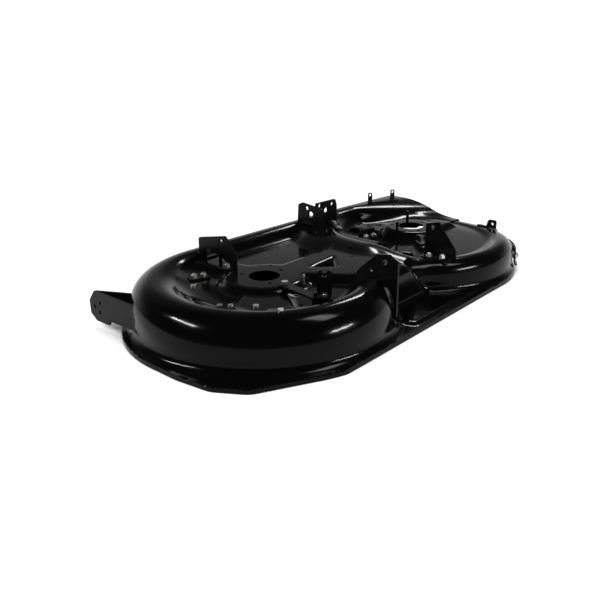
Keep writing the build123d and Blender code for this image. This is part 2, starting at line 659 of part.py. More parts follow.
angle_rise = FLOOR_Z + FOOT + FLOOR_ANGLE_RISE
with BuildPart() as right_floor_bracket:
    add(foot_on(*FLOOR_ANGLE_XY, FLOOR_ANGLE_LENGTH, FLOOR_ANGLE_WIDTH, FLOOR_ANGLE_TURN))
    with Locations(Location(Vector(*FLOOR_ANGLE_XY) + left, (0, 0, FLOOR_ANGLE_TURN))):
        with Locations((0, (FLOOR_ANGLE_WIDTH - FOOT) / 2, 0)):
            Box(FLOOR_ANGLE_LENGTH - PLATE_CORNER, FOOT, angle_rise, align=(Align.CENTER, Align.CENTER, Align.MIN))
    add(outer, mode=Mode.SUBTRACT)
    add(bolt_holes(floor_angle_seats), mode=Mode.SUBTRACT)

right_floor_bracket.part.label = "right_floor_bracket"
export_step(right_floor_bracket.part, "parts/right_floor_bracket.step")

# Belt posts welded on the raised stars.
with BuildPart() as belt_posts:
    for x, y in POSTS:
        with Locations(left + Vector(x, y, STAR_Z)):
            Cylinder(POST_R, POST_HEIGHT, align=(Align.CENTER, Align.CENTER, Align.MIN))

belt_posts.part.label = "belt_posts"
export_step(belt_posts.part, "parts/belt_posts.step")


def bolt_heads(seats):
    """Low round bolt heads inside the chamber, against the sheet's underside."""
    with BuildPart() as heads:
        add(rods(seats, HEAD_R, SHEET + HEAD_HEIGHT, 0))
        add(inner, mode=Mode.INTERSECT)
    return heads.part


# Carriage bolts of the brackets, with hex nuts on the feet.
with BuildPart() as bracket_bolts:
    add(bolt_heads(bolt_seats))
    add(rods(bolt_seats, BOLT_R, SHEET + HEAD_HEIGHT / 2, FOOT + NUT_HEIGHT + BOLT_END))

bracket_bolts.part.label = "bracket_bolts"
export_step(bracket_bolts.part, "parts/bracket_bolts.step")

with BuildPart() as bracket_nuts:
    for seat in bolt_seats:
        with BuildSketch(seat):
            RegularPolygon(NUT_R, 6)
            Circle(BOLT_R, mode=Mode.SUBTRACT)
    extrude(amount=FOOT + NUT_HEIGHT)
    add(cover, mode=Mode.SUBTRACT)

bracket_nuts.part.label = "bracket_nuts"
export_step(bracket_nuts.part, "parts/bracket_nuts.step")

# Pivot bolt of the latch arm: a hex head on the arm and a round nut under the hub.
with BuildPart() as latch_pivot:
    with BuildSketch(pivot_seats[0].offset(FOOT)):
        RegularPolygon(NUT_R, 6)
    extrude(amount=NUT_HEIGHT)
    add(rods(pivot_seats, BOLT_R, SHEET + HEAD_HEIGHT / 2, FOOT + NUT_HEIGHT / 2))
    add(bolt_heads(pivot_seats))

latch_pivot.part.label = "latch_pivot"
export_step(latch_pivot.part, "parts/latch_pivot.step")

# Pan-head screws in the left floor and star arm.
with BuildPart() as floor_screws:
    add(rods(screw_seats, SCREW_R, 0, SCREW_HEIGHT))
    add(outer, mode=Mode.SUBTRACT)
    add(rods(screw_seats, SCREW_SHANK_R, SCREW_LENGTH, SCREW_HEIGHT / 2))

floor_screws.part.label = "floor_screws"
export_step(floor_screws.part, "parts/floor_screws.step")
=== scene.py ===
import math
import bpy
import bmesh
import numpy as np
from mathutils import Matrix, Vector


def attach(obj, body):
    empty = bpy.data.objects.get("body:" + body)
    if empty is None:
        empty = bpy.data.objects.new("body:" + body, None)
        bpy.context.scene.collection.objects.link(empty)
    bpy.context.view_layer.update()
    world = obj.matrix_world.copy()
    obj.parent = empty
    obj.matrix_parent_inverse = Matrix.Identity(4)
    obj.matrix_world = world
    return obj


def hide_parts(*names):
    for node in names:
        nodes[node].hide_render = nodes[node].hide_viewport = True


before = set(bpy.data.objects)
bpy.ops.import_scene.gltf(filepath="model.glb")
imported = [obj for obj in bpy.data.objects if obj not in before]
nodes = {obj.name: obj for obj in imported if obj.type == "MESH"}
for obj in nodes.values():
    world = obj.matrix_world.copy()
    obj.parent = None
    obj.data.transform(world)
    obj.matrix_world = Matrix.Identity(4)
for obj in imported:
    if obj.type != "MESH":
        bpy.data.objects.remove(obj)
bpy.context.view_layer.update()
scene = bpy.context.scene
scene.view_settings.view_transform = "Standard"

# Sizes of the pressed shell in millimetres, measured from the left spindle as in the CAD source.
SHEET = 2.5
LEFT = np.array([-234.5, -6.0])
PITCH, SETBACK = 534.0, 20.0
TILT = -math.atan2(SETBACK, PITCH)
CREST_Z, CREST_R, CREST_FLAT = 113.0, 235.0, 6.0
CREST_IN = CREST_R - CREST_FLAT
FLOOR_R, FLOOR_Z = 178.0, 87.0
LEFT_WALL_R, RIGHT_WALL_R = 283.0, 268.0
FOOT_R, FLANGE_Z = 20.0, 10.0
LEFT_RIM_R, RIGHT_RIM_R, NEAR_RIM_Y = 306.0, 274.0, 294.0
RIM_CORNER_R, RIM_EDGE_R = 45.0, 3.0
DISCHARGE_X, FLARE_START = 775.0, 560.0
FLARE_FLOOR_R, FLARE_CREST_R, FLARE_CREST_Z = -25.0, 195.0, 109.0
ROOF_X, ROOF_ANGLE, ROOF_EDGE_R = 655.0, math.radians(9.0), 34.0
STAR_Z, STAR_DRAFT, STAR_EDGE, STAR_BLEND = 103.0, math.radians(35.0), 7.0, 9.0
LEFT_HUB_R, RIGHT_HUB_R = 84.0, 68.0
LEFT_ARMS = ((90, 190),)
RIGHT_ARMS = ((100, 165), (205, 175), (0, 165))
ARM_HALF, ARM_BLEND = 28.0, 14.0
NOTCH_Y, NOTCH_SHOULDER, NOTCH_START, NOTCH_END = 200.0, 22.0, 120.0, 348.0
RING_END = 2 * math.pi - math.asin(NOTCH_Y / LEFT_WALL_R)
PAD_Z, PAD_R, PAD_ANGLE, PAD_HALF_ANGLE, PAD_MM_PER_DEGREE = 97.0, 206, 242, 14, 3.35
PANEL_RISE = 5.0
SPINDLE_HOLE_R, SPINDLE_BOLT_RING_R, SPINDLE_BOLT_R = 33.5, 49.5, 4.5
SPINDLE_BOLT_ANGLES = (-2, 118, 238)
SMALL_HOLES = [((50, 62), 4), ((58, 38), 4), ((22, 118), 4.5), ((225, -62), 4.5), ((262, -30), 4.5),
               ((-106, -163), 4), ((-66, -184), 4), ((560, 36), 4)]
SQUARE_HOLE, SQUARE_SIDE = (-86, -174), 11.0
HOLE_Z, HOLE_DEPTH = 96, 50.0

# Forms that the scene alone makes: a low right ring round a bowl, its crest climbing on the left to the front
# tunnel, lower arms there, softer shoulders, a sloping notch end and a skirt beside the left hub. Spans are bearings.
LOW_CREST_Z, LOW_FLOOR_R = 85.0, 190.0
BOWL_R, BOWL_Z, BOWL_START, BOWL_EASE = 165.0, 72.0, 420.0, 20.0
CLIMB_START, CLIMB_END = 186.0, 224.0
LEFT_FALL, LEFT_SIDE_FALL, RIGHT_FALL = 48, 75, 46.0
SIDE_FALL_SPAN = (150, 185)
BROAD_SLOPE, BROAD_SPANS = 28, ((100, 130), (205, 225))
SHOULDER_WIDTH, SHOULDER_SPANS = 42, ((95, 130), (196, 226))
ARM_Z, SKIRT_Z, SKIRT_R = 83.0, 93.0, 183
NOTCH_TOP_END, NOTCH_DRAFT = 262.0, math.radians(40.0)

# Grid of the shell's mesh, a depth that raised forms reach under the floor, and a field value that is never near.
GRID, GRID_LOW, GRID_HIGH = 5.0, (-312, -300, -8), (790, 312, 120)
RAISED_DEPTH, FAR = 8, 1e3

# Camera fitted to the photo: turns in radians, eye in millimetres from the left spindle, focal length in pixels.
YAW, PITCH_DOWN, ROLL = 0.730534, 0.372143, -0.0137542
EYE = (-993.585, -991.342, 593.119)
FOCAL_PX, PHOTO_PX, SENSOR_MM = 696.34, 600, 36.0

# Soft boxes: azimuth and elevation in degrees from the deck's middle, width and height in metres, power in watts.
BOX_DISTANCE, BOX_AIM = 2.6, (0, 0, 0.05)
SOFT_BOXES = {"left_back": (152, 30, 1.0, 0.08, 46), "near_side": (-78, 14, 0.9, 0.08, 42),
              "overhead": (-75, 57, 0.6, 1.0, 28), "far_right": (22, 40, 0.6, 0.25, 17)}
WHITE = (1.0, 1.0, 1.0, 1)
FLOOR_HALF_M, FLOOR_DROP_M = 60, 0.0005


# Fields: signed, negative inside.

def step(low, high, v):
    """Smooth step from 0 to 1 between two values."""
    t = np.clip((v - low) / (high - low), 0, 1)
    return t * t * (3 - 2 * t)


def between(spans, v):
    """Smooth step up over a first span and down over a second."""
    return step(*spans[0], v) * (1 - step(*spans[1], v))


def join(a, b, k):
    """Union of two fields with a soft concave blend about k wide."""
    h = np.maximum(k - np.abs(a - b), 0)
    return np.minimum(a, b) - h * h / (4 * np.maximum(k, 1e-6))


def meet(a, b, k):
    """Intersection of two fields with a soft convex blend about k wide."""
    return -join(-a, -b, k)


def fillet_join(a, b, r):
    """Union of two fields with a round fillet where they meet squarely."""
    return np.maximum(r, np.minimum(a, b)) - np.hypot(np.maximum(r - a, 0), np.maximum(r - b, 0))


def rounded(a, b, r):
    """Intersection of two fields with a round edge."""
    return np.minimum(np.maximum(a, b), -r) + np.hypot(np.maximum(a + r, 0), np.maximum(b + r, 0))


def oval(a, b, ra, rb):
    """Intersection of two fields with an oval edge, ra deep under the first and rb under the second."""
    u, v = np.maximum(a + ra, 0) / ra, np.maximum(b + rb, 0) / rb
    q = np.hypot(u, v)
    lean = np.hypot(u / ra, v / rb)
    return np.where(q > 1e-6, (q - 1) * q / np.maximum(lean, 1e-9), np.maximum(a, b))


def polygon(x, y, corners):
    """Signed distance to a polygon in plan."""
    best = np.full(x.shape, 1e12)
    sign = np.ones(x.shape)
    n = len(corners)
    for i in range(n):
        ax, ay = corners[i]
        bx, by = corners[i - 1]
        ex, ey = bx - ax, by - ay
        wx, wy = x - ax, y - ay
        t = np.clip((wx * ex + wy * ey) / (ex * ex + ey * ey), 0, 1)
        best = np.minimum(best, (wx - ex * t) ** 2 + (wy - ey * t) ** 2)
        up = (y >= ay) & (y < by) & (ex * wy > ey * wx)
        down = (y < ay) & (y >= by) & (ex * wy < ey * wx)
        sign = np.where(up | down, -sign, sign)
    return sign * np.sqrt(best)


def slab(u, v, low, high, half):
    """Signed distance to a rectangle from low to high along u and half to each side of v."""
    du = np.maximum(low - u, u - high)
    dv = np.abs(v) - half
    return np.minimum(np.maximum(du, dv), 0) + np.hypot(np.maximum(du, 0), np.maximum(dv, 0))


def star(x, y, centre, hub, arms):
    """Signed distance to a round hub with straight arms."""
    px, py = x - centre[0], y - centre[1]
    d = np.hypot(px, py) - hub
    for angle, length in arms:
        c, s = math.cos(math.radians(angle)), math.sin(math.radians(angle))
        d = join(d, slab(px * c + py * s, py * c - px * s, 0, length, ARM_HALF), ARM_BLEND)
    return d


def s_curve(r, floor_r, floor_z, crest_in, crest_z):
    """Height of a ring tunnel's inner slope at radius r, and its slope."""
    run = crest_in - floor_r
    rise = crest_z - floor_z
    turn = 2 * np.arctan2(rise, run)
    bend = run / 2 / np.sin(turn)
    low = np.clip(r - floor_r, 0, run / 2)
    high = np.clip(crest_in - r, 0, run / 2)
    h_low = floor_z + bend - np.sqrt(np.maximum(bend ** 2 - low ** 2, 0))
    h_high = crest_z - bend + np.sqrt(np.maximum(bend ** 2 - high ** 2, 0))
    first = r < floor_r + run / 2
    d = np.where(first, low, high)
    return np.where(first, h_low, h_high), d / np.sqrt(np.maximum(bend ** 2 - d ** 2, 1))


def ring(r, z, wall_r, fall, floor_r, floor_z, crest_in, crest_z):
    """Field of a filled ring tunnel: inner slope, crest, shoulder and wall."""
    outside = oval(r - wall_r, z - crest_z, wall_r - CREST_R, fall)
    height, slope = s_curve(r, floor_r, floor_z, crest_in, crest_z)
    return np.maximum(outside, (z - height) / np.sqrt(1 + slope ** 2))


def raised(outline, z, top, base, edge):
    """Field of a raised area with drafted sides and a soft top edge, down to a base under the sheet."""
    side = (outline - (top - z) * math.tan(STAR_DRAFT)) * math.cos(STAR_DRAFT)
    return np.maximum(meet(z - top, side, edge), base - z)


# Outlines in plan.

def inset_corners(corners, depth):
    """Corners of a convex polygon, run anticlockwise, set in by a depth."""
    lines = []
    for (ax, ay), (bx, by) in zip(corners, corners[1:] + corners[:1]):
        length = math.hypot(bx - ax, by - ay)
        nx, ny = -(by - ay) / length, (bx - ax) / length
        lines.append((nx, ny, nx * ax + ny * ay + depth))
    found = []
    for (a, b, c), (d, e, f) in zip(lines[-1:] + lines[:-1], lines):
        det = a * e - b * d
        found.append(((c * e - b * f) / det, (a * f - c * d) / det))
    return found


RIM_CORNERS = inset_corners([(-LEFT_RIM_R, 20), (-LEFT_RIM_R, -70), (-296, -150), (-258, -212), (-140, -272),
                             (-40, -NEAR_RIM_Y), (560, -NEAR_RIM_Y), (560, 20)], RIM_CORNER_R)
BRIDGE = [(0, 26), (300, 26), (296, -70), (262, -178), (170, -178), (112, -132), (64, -60), (0, -26)]
WINDOW = [(110, -38), (196, -30), (150, -78)]
SKIRT = [(SKIRT_R * math.cos(math.radians(a)), SKIRT_R * math.sin(math.radians(a))) for a in range(201, 244, 6)] \
    + [(-30, -98), (-56, -12)]
FLOOR = [(0, 0), (0, -178), (262, -178), (534, -20)]
PANEL = [(228, -200), (158, -258), (168, -276), (430, -276), (350, -200)]


# The pressed form.

def right_ring(x, y):
    """Floor radius and crest height of the right ring at a plan place: high on its left front, else low."""
    turn = np.mod(np.degrees(np.arctan2(y + SETBACK, x - PITCH)), 360)
    high = np.where(turn < 90 + math.degrees(TILT), 0, 1 - step(CLIMB_START, CLIMB_END, turn))
    return LOW_FLOOR_R + high * (BOWL_R - LOW_FLOOR_R), LOW_CREST_Z + high * (CREST_Z - LOW_CREST_Z)


def plan_fields(x, y):
    """Everything about the shell that depends on the plan place alone."""
    p = {"x": x, "y": y}
    along = x * math.cos(TILT) + y * math.sin(TILT)
    ahead = y * math.cos(TILT) - x * math.sin(TILT)
    r_left = np.hypot(x, y)
    angle = np.mod(np.arctan2(y, x), 2 * math.pi)
    bearing = np.degrees(angle)
    p["straight"] = (along > 0) & (ahead > 0)
    p["past_end"] = ~p["straight"] & ((angle > RING_END) | (angle < math.pi / 4))
    p["r_tunnel"] = np.where(p["straight"], ahead, r_left)

    flare = np.clip((along - FLARE_START) / (DISCHARGE_X + 10 - FLARE_START), 0, 1)
    flare = np.where(p["straight"], flare, 0)
    drop = (DISCHARGE_X - ROOF_X) * math.tan(ROOF_ANGLE)
    p["fall"] = np.where(p["straight"], LEFT_FALL,
                         LEFT_FALL + (LEFT_SIDE_FALL - LEFT_FALL) * step(*SIDE_FALL_SPAN, bearing))
    beside = np.where(p["straight"], step(BOWL_START - BOWL_EASE, BOWL_START + BOWL_EASE, along), 0)
    floor_r = FLOOR_R - BROAD_SLOPE * between(BROAD_SPANS, bearing) + beside * (BOWL_R - FLOOR_R)
    floor_z = FLOOR_Z + beside * (BOWL_Z - FLOOR_Z)
    p["floor_r"] = floor_r + flare * (FLARE_FLOOR_R - floor_r)
    p["floor_z"] = floor_z + flare * (FLOOR_Z - drop - floor_z)
    p["crest_in"] = CREST_IN + flare * (FLARE_CREST_R - CREST_IN)
    p["crest_z"] = CREST_Z + flare * (FLARE_CREST_Z - CREST_Z)
    nose = np.array([math.cos(RING_END), math.sin(RING_END)]) * CREST_IN
    p["nose"] = np.hypot(x - nose[0], y - nose[1])

    p["r_right"] = np.hypot(x - PITCH, y + SETBACK)
    p["low_floor_r"], p["low_crest_z"] = right_ring(x, y)
    turn = np.mod(np.degrees(np.arctan2(y + SETBACK, x - PITCH)), 360)
    p["right_wall"] = RIGHT_WALL_R + SHOULDER_WIDTH * between(SHOULDER_SPANS, turn)
    flat = np.minimum(polygon(x, y, FLOOR), slab(along, ahead - FLOOR_R / 2, 0, PITCH, FLOOR_R / 2))
    p["floor"] = np.maximum(flat, CREST_IN - 5 - p["r_right"])
    side = (PITCH - x) / np.maximum(p["r_right"], 1)
    p["right_blend"] = 0.5 + 18 * step(0.05, 0.45, side) * step(CREST_IN, CREST_R, p["r_right"]) \
        + 16 * step(560, 680, x) * step(60, 160, p["r_right"])

    bridge = np.maximum(polygon(x, y, BRIDGE), -polygon(x, y, WINDOW))
    p["stars"] = join(star(x, y, (0, 0), LEFT_HUB_R, LEFT_ARMS), bridge, 10)
    p["hub"] = p["r_right"] - RIGHT_HUB_R
    p["arms"] = star(x, y, (PITCH, -SETBACK), RIGHT_HUB_R, RIGHT_ARMS)
    p["skirt"] = polygon(x, y, SKIRT)
    p["pad"] = slab(r_left, (bearing - PAD_ANGLE) * PAD_MM_PER_DEGREE, FLOOR_R, PAD_R,
                    PAD_HALF_ANGLE * PAD_MM_PER_DEGREE)
    p["panel"] = polygon(x, y, PANEL)
    rim = np.minimum(r_left - LEFT_RIM_R, p["r_right"] - RIGHT_RIM_R)
    rim = np.minimum(rim, polygon(x, y, RIM_CORNERS) - RIM_CORNER_R)
    rim = np.minimum(rim, slab(along, ahead - LEFT_RIM_R / 2, 0, DISCHARGE_X + 30, LEFT_RIM_R / 2))
    p["rim"] = np.maximum(rim, -NEAR_RIM_Y - y)
    return p


def left_form(p, z):
    """Field of the left ring and front tunnel, the ring's rounded end and the floor."""
    left = ring(p["r_tunnel"], z, LEFT_WALL_R, p["fall"], p["floor_r"], p["floor_z"], p["crest_in"], p["crest_z"])
    left = np.where(p["past_end"], FAR, left)
    nose_z, slope = s_curve(CREST_IN - p["nose"], FLOOR_R, FLOOR_Z, CREST_IN, CREST_Z)
    nose = np.where(p["nose"] < CREST_IN - FLOOR_R, (z - nose_z) / np.sqrt(1 + slope ** 2), FAR)
    nose = np.maximum(nose, FLOOR_Z - 12 - z)
    return np.minimum(np.minimum(left, nose), np.maximum(p["floor"], z - FLOOR_Z))


def right_form(p, z):
    """Field of the right ring, cut down by the sloping discharge roof."""
    right = ring(p["r_right"], z, p["right_wall"], RIGHT_FALL, p["low_floor_r"], BOWL_Z, CREST_IN, p["low_crest_z"])
    over = (z - FLOOR_Z) * math.cos(ROOF_ANGLE) + (p["x"] - ROOF_X) * math.sin(ROOF_ANGLE)
    return meet(right, rounded(p["r_right"] - p["right_wall"], over, ROOF_EDGE_R), 14)


def raised_forms(p, z):
    """Field of the stars, hub, arms and skirt, and of the notch wall behind the rear shelf."""
    notch = rounded(-p["y"] - NOTCH_Y, z - STAR_Z, NOTCH_SHOULDER)
    end = (p["x"] - NOTCH_TOP_END) * math.cos(NOTCH_DRAFT) + (z - STAR_Z) * math.sin(NOTCH_DRAFT)
    span = slab(p["x"], p["y"] + NOTCH_Y - NOTCH_SHOULDER, NOTCH_START, NOTCH_END, NOTCH_SHOULDER + 4)
    fields = np.maximum(meet(notch, end, 16), span)
    for outline, top, floor_z, edge in (("stars", STAR_Z, FLOOR_Z, STAR_EDGE), ("hub", STAR_Z, BOWL_Z, STAR_EDGE),
                                        ("arms", ARM_Z, BOWL_Z, 6.0), ("skirt", SKIRT_Z, FLOOR_Z, 5.0)):
        fields = np.minimum(fields, raised(p[outline], z, top, floor_z - RAISED_DEPTH, edge))
    return fields


def field(p, z):
    """Signed field of the pressed form, negative under the sheet's outer surface."""
    body = join(left_form(p, z), right_form(p, z), p["right_blend"])
    body = join(body, raised_forms(p, z), STAR_BLEND)
    body = join(body, raised(p["pad"], z, PAD_Z, FLOOR_Z - RAISED_DEPTH, 5.0), 6.0)
    body = fillet_join(body, z - FLANGE_Z, FOOT_R)
    body = join(body, raised(p["panel"], z, FLANGE_Z + PANEL_RISE, -20, 3.0), 4.0)
    return rounded(body, p["rim"], RIM_EDGE_R)


def field_at(points):
    """Field at scattered points."""
    return field(plan_fields(points[:, 0], points[:, 1]), points[:, 2])


def gradient_at(points, reach=0.4):
    """Gradient of the field at scattered points."""
    g = np.empty_like(points)
    for axis in range(3):
        shift = np.zeros(3)
        shift[axis] = reach
        g[:, axis] = (field_at(points + shift) - field_at(points - shift)) / (2 * reach)
    return g


# The shell's mesh.

def net_surface(low, high, pitch):
    """Points and quads on the field's zero surface, one point to a mixed cell of an even grid."""
    axes = [np.arange(a, b + pitch, pitch) for a, b in zip(low, high)]
    gx, gy = np.meshgrid(axes[0], axes[1], indexing="ij")
    plan = plan_fields(gx, gy)
    v = np.stack([field(plan, z) for z in axes[2]], axis=2)
    inside = v < 0
    shape = tuple(n - 1 for n in v.shape)
    total = np.zeros(shape + (3,))
    count = np.zeros(shape)
    corners = [(i, j, k) for i in (0, 1) for j in (0, 1) for k in (0, 1)]

    def corner(a, c):
        return a[c[0]:c[0] + shape[0], c[1]:c[1] + shape[1], c[2]:c[2] + shape[2]]

    for a in corners:
        for axis in range(3):
            if a[axis]:
                continue
            b = tuple(1 if n == axis else m for n, m in enumerate(a))
            va, vb = corner(v, a), corner(v, b)
            cut = corner(inside, a) != corner(inside, b)
            t = np.where(cut, va / np.where(cut, va - vb, 1), 0)
            for n in range(3):
                total[..., n] += np.where(cut, a[n] + (t if n == axis else 0), 0)
            count += cut
    mixed = count > 0
    number = np.full(shape, -1)
    number[mixed] = np.arange(mixed.sum())
    cell = np.argwhere(mixed)
    points = np.array(low) + pitch * (cell + total[mixed] / count[mixed][:, None])
    quads = []
    for axis in range(3):
        u, w = [n for n in range(3) if n != axis]
        first = [slice(None)] * 3
        first[axis] = slice(0, -1)
        second = [slice(None)] * 3
        second[axis] = slice(1, None)
        change = inside[tuple(first)] != inside[tuple(second)]
        where = np.argwhere(change)
        keep = (where[:, u] > 0) & (where[:, w] > 0) & (where[:, u] < shape[u]) & (where[:, w] < shape[w])
        where = where[keep]
        ring_of = []
        for du, dw in ((-1, -1), (0, -1), (0, 0), (-1, 0)):
            at = where.copy()
            at[:, u] += du
            at[:, w] += dw
            ring_of.append(number[at[:, 0], at[:, 1], at[:, 2]])
        q = np.stack(ring_of, axis=1)
        start_in = inside[where[:, 0], where[:, 1], where[:, 2]]
        flip = start_in if axis == 1 else ~start_in
        q[flip] = q[flip][:, ::-1]
        quads.append(q)
    return points, np.concatenate(quads)


def part_place(points):
    """Millimetres from the left spindle to metres in the part's frame."""
    placed = np.array(points, float)
    placed[:, :2] += LEFT
    return placed / 1000


def mesh_object(name, points, faces):
    """New object in the scene from points in metres and faces."""
    mesh = bpy.data.meshes.new(name)
    mesh.from_pydata([tuple(p) for p in points], [], [tuple(int(i) for i in f) for f in faces])
    mesh.update()
    obj = bpy.data.objects.new(name, mesh)
    scene.collection.objects.link(obj)
    return obj


def shell_surface(pitch):
    """Outer surface of the shell, cut level at the rim and square at the discharge end."""
    points, quads = net_surface(GRID_LOW, GRID_HIGH, pitch)
    for turn in range(4):
        g = gradient_at(points)
        move = (field_at(points) / np.maximum((g ** 2).sum(1), 0.05))[:, None] * g
        length = np.linalg.norm(move, axis=1)[:, None]
        points = points - move * np.minimum(1, 0.6 * pitch / np.maximum(length, 1e-9))
    bm = bmesh.new()
    for p in points:
        bm.verts.new(p)
    bm.verts.ensure_lookup_table()
    for q in quads:
        bm.faces.new([bm.verts[i] for i in q])
    for place, normal in (((0, 0, 0), (0, 0, -1)), ((DISCHARGE_X, 0, 0), (1, 0, 0))):
        bmesh.ops.bisect_plane(bm, geom=bm.verts[:] + bm.edges[:] + bm.faces[:], dist=0.05, plane_co=place,
                               plane_no=normal, clear_outer=True)
    loose = [v for v in bm.verts if not v.link_faces]
    bmesh.ops.delete(bm, geom=loose, context="VERTS")
    bm.verts.index_update()
    points = np.array([v.co for v in bm.verts])
    faces = [[v.index for v in f.verts] for f in bm.faces]
    border = []
    for e in bm.edges:
        if len(e.link_faces) == 1:
            for lp in e.link_faces[0].loops:
                if lp.edge == e:
                    border.append((lp.vert.index, lp.link_loop_next.vert.index))
    bm.free()
    return points, faces, border


def thick_shell(pitch):
    """Closed sheet of even thickness under the outer surface."""
    points, faces, border = shell_surface(pitch)
    g = gradient_at(points)
    inner = points - SHEET * g / np.maximum(np.linalg.norm(g, axis=1), 1e-6)[:, None]
    at_rim = points[:, 2] < 0.2
    inner[at_rim, 2] = 0
    at_end = points[:, 0] > DISCHARGE_X - 0.2
    inner[at_end, 0] = DISCHARGE_X
    inner[:, 2] = np.maximum(inner[:, 2], 0)
    n = len(points)
    closed = faces + [[i + n for i in f[::-1]] for f in faces] + [[b, a, a + n, b + n] for a, b in border]
    return mesh_object("pressed_shell", part_place(np.concatenate([points, inner])), closed)


def round_holes():
    """Plan places and radii of the round holes: spindles, small screws, spindle bolts."""
    spindles = ((0, 0), (PITCH, -SETBACK))
    holes = [(spot, SPINDLE_HOLE_R) for spot in spindles] + SMALL_HOLES
    for x, y in spindles:
        for turn in SPINDLE_BOLT_ANGLES:
            a = math.radians(turn)
            place = (x + SPINDLE_BOLT_RING_R * math.cos(a), y + SPINDLE_BOLT_RING_R * math.sin(a))
            holes.append((place, SPINDLE_BOLT_R))
    return holes


def cut_holes(obj):
    """Cuts the round holes and the square latch hole through the sheet."""
    bm = bmesh.new()
    for (x, y), radius in round_holes():
        place = Matrix.Translation(Vector(part_place([(x, y, HOLE_Z)])[0]))
        bmesh.ops.create_cone(bm, cap_ends=True, segments=64 if radius > 20 else 24, radius1=radius / 1000,
                              radius2=radius / 1000, depth=HOLE_DEPTH / 1000, matrix=place)
    place = Matrix.Translation(Vector(part_place([SQUARE_HOLE + (HOLE_Z,)])[0]))
    sides = Matrix.Diagonal((SQUARE_SIDE / 1000, SQUARE_SIDE / 1000, HOLE_DEPTH / 1000, 1))
    bmesh.ops.create_cube(bm, size=1, matrix=place @ sides)
    mesh = bpy.data.meshes.new("cutter")
    bm.to_mesh(mesh)
    bm.free()
    cutter = bpy.data.objects.new("cutter", mesh)
    scene.collection.objects.link(cutter)
    mod = obj.modifiers.new("holes", "BOOLEAN")
    mod.object = cutter
    mod.operation = "DIFFERENCE"
    mod.solver = "EXACT"
    bpy.context.view_layer.update()
    cut = bpy.data.meshes.new_from_object(obj.evaluated_get(bpy.context.evaluated_depsgraph_get()))
    obj.modifiers.clear()
    obj.data = cut
    bpy.data.objects.remove(cutter)


# Materials.

def paint(name, roughness, peel, dust):
    """Gloss black coat: a faint orange peel, a little dust and uneven gloss."""
    mat = bpy.data.materials.new(name)
    mat.use_nodes = True
    tree = mat.node_tree
    shader = tree.nodes["Principled BSDF"]
    shader.inputs["IOR"].default_value = 1.18
    place = tree.nodes.new("ShaderNodeTexCoord")
    cloud = tree.nodes.new("ShaderNodeTexNoise")
    cloud.inputs["Scale"].default_value = 9.0
    cloud.inputs["Detail"].default_value = 6.0
    tree.links.new(place.outputs["Object"], cloud.inputs["Vector"])
    tone = tree.nodes.new("ShaderNodeValToRGB")
    tone.color_ramp.elements[0].position = 0.35
    tone.color_ramp.elements[0].color = (0.0014, 0.0014, 0.0015, 1)
    tone.color_ramp.elements[1].position = 0.75
    tone.color_ramp.elements[1].color = (0.0022 + dust, 0.0022 + dust, 0.0022 + dust, 1)
    tree.links.new(cloud.outputs["Fac"], tone.inputs["Fac"])
    tree.links.new(tone.outputs["Color"], shader.inputs["Base Color"])
    gloss = tree.nodes.new("ShaderNodeMapRange")
    gloss.inputs["From Min"].default_value = 0.3
    gloss.inputs["From Max"].default_value = 0.75
    gloss.inputs["To Min"].default_value = roughness * 0.85
    gloss.inputs["To Max"].default_value = roughness * 1.2
    tree.links.new(cloud.outputs["Fac"], gloss.inputs["Value"])
    tree.links.new(gloss.outputs["Result"], shader.inputs["Roughness"])
    grain = tree.nodes.new("ShaderNodeTexNoise")
    grain.inputs["Scale"].default_value = 420.0
    grain.inputs["Detail"].default_value = 2.0
    tree.links.new(place.outputs["Object"], grain.inputs["Vector"])
    bump = tree.nodes.new("ShaderNodeBump")
    bump.inputs["Strength"].default_value = peel
    bump.inputs["Distance"].default_value = 0.0002
    tree.links.new(grain.outputs["Fac"], bump.inputs["Height"])
    tree.links.new(bump.outputs["Normal"], shader.inputs["Normal"])
    return mat


def zinc(name):
    """Bright zinc plate with fine uneven gloss."""
    mat = bpy.data.materials.new(name)
    mat.use_nodes = True
    tree = mat.node_tree
    shader = tree.nodes["Principled BSDF"]
    shader.inputs["Metallic"].default_value = 1.0
    place = tree.nodes.new("ShaderNodeTexCoord")
    cloud = tree.nodes.new("ShaderNodeTexNoise")
    cloud.inputs["Scale"].default_value = 160.0
    cloud.inputs["Detail"].default_value = 5.0
    tree.links.new(place.outputs["Object"], cloud.inputs["Vector"])
    tone = tree.nodes.new("ShaderNodeValToRGB")
    tone.color_ramp.elements[0].color = (0.42, 0.42, 0.40, 1)
    tone.color_ramp.elements[1].color = (0.70, 0.70, 0.68, 1)
    tree.links.new(cloud.outputs["Fac"], tone.inputs["Fac"])
    tree.links.new(tone.outputs["Color"], shader.inputs["Base Color"])
    gloss = tree.nodes.new("ShaderNodeMapRange")
    gloss.inputs["To Min"].default_value = 0.24
    gloss.inputs["To Max"].default_value = 0.44
    tree.links.new(cloud.outputs["Fac"], gloss.inputs["Value"])
    tree.links.new(gloss.outputs["Result"], shader.inputs["Roughness"])
    return mat


def dress(obj, mat):
    """Puts one material on an object."""
    obj.data.materials.clear()
    obj.data.materials.append(mat)


# The shell, and a material on every node.

shell = thick_shell(GRID)
cut_holes(shell)
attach(shell, "root")
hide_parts("deck_shell")
shell.data.shade_smooth()
shell.data.set_sharp_from_angle(angle=math.radians(40))

gloss_black = paint("gloss_black", 0.13, 0.10, 0.0)
bracket_black = paint("bracket_black", 0.3, 0.25, 0.0006)
bright_zinc = zinc("bright_zinc")
dress(shell, gloss_black)
ZINC = ("bracket_bolts", "bracket_nuts", "latch_pivot", "floor_screws")
for name, obj in nodes.items():
    if name != "deck_shell":
        dress(obj, bright_zinc if name in ZINC else bracket_black)


